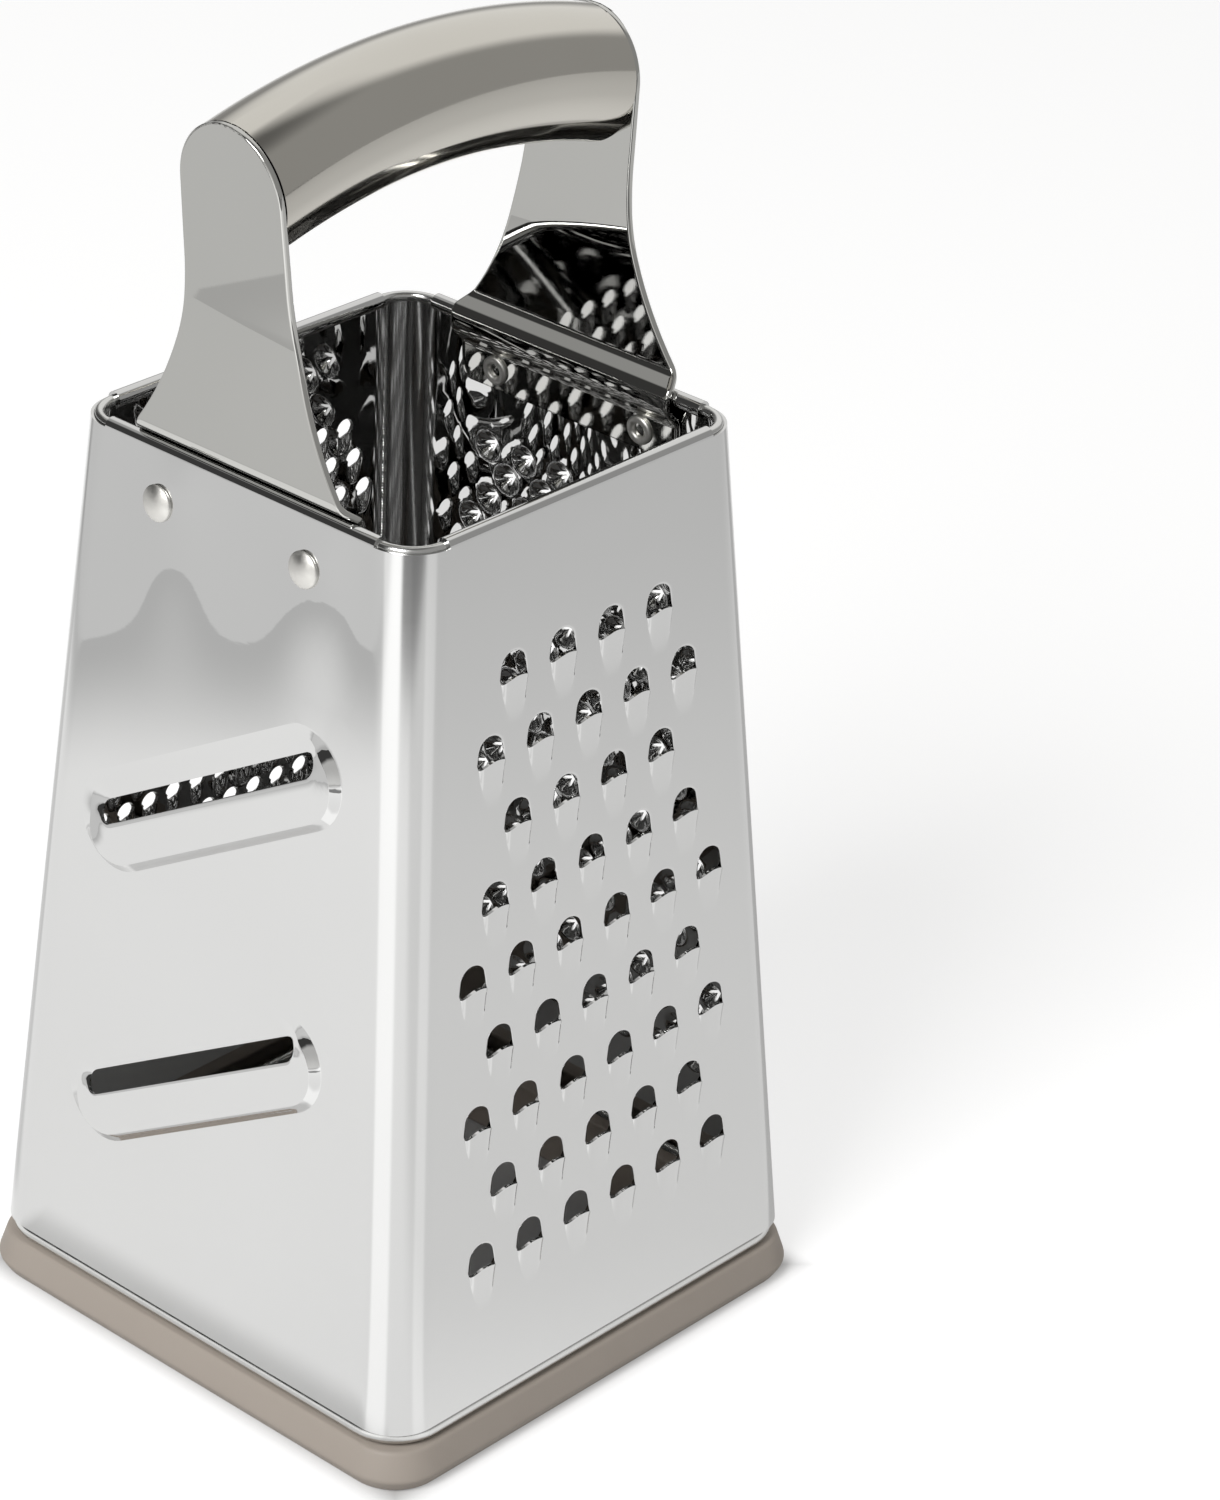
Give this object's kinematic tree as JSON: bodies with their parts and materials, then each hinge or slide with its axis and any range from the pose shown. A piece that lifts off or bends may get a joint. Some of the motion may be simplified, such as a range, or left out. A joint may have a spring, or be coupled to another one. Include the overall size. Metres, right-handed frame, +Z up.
{
  "type": "box grater",
  "caption": "Upright four-sided stainless steel kitchen grater with a slicing, coarse, medium and fine wall, an arched tube handle and a soft non-slip foot ring.",
  "frame": {"origin": "centre of the foot ring's underside, on the surface that the grater stands on", "axes": "+Z up the tower to the handle, -Y out of the slicing wall, +X out of the coarse wall; the grip runs along Y"},
  "size_m": [0.1032, 0.1032, 0.2282],
  "materials": {
    "wall_steel": "polished stainless sheet",
    "wire_steel": "satin stainless wire",
    "handle_steel": "polished stainless, fine satin grain on the straps",
    "rivet_steel": "satin stainless",
    "foot_silicone": "matt warm grey silicone"
  },
  "bodies": {
    "base": {"base_ring": "foot_silicone"},
    "grater": {"face_slicer": "wall_steel", "face_coarse": "wall_steel", "face_fine": "wall_steel", "face_medium": "wall_steel", "rim_wire": "wire_steel", "base_wire": "wire_steel", "handle_leg_front": "handle_steel", "handle_leg_back": "handle_steel", "handle_grip": "handle_steel", "rivet_front_left": "rivet_steel", "rivet_front_right": "rivet_steel", "rivet_back_left": "rivet_steel", "rivet_back_right": "rivet_steel"}
  },
  "joints": [
    {"name": "foot_ring_slide", "type": "slide", "parent": "base", "child": "grater", "axis": [0, 0, 1], "range_m": [0, 0.03]}
  ]
}
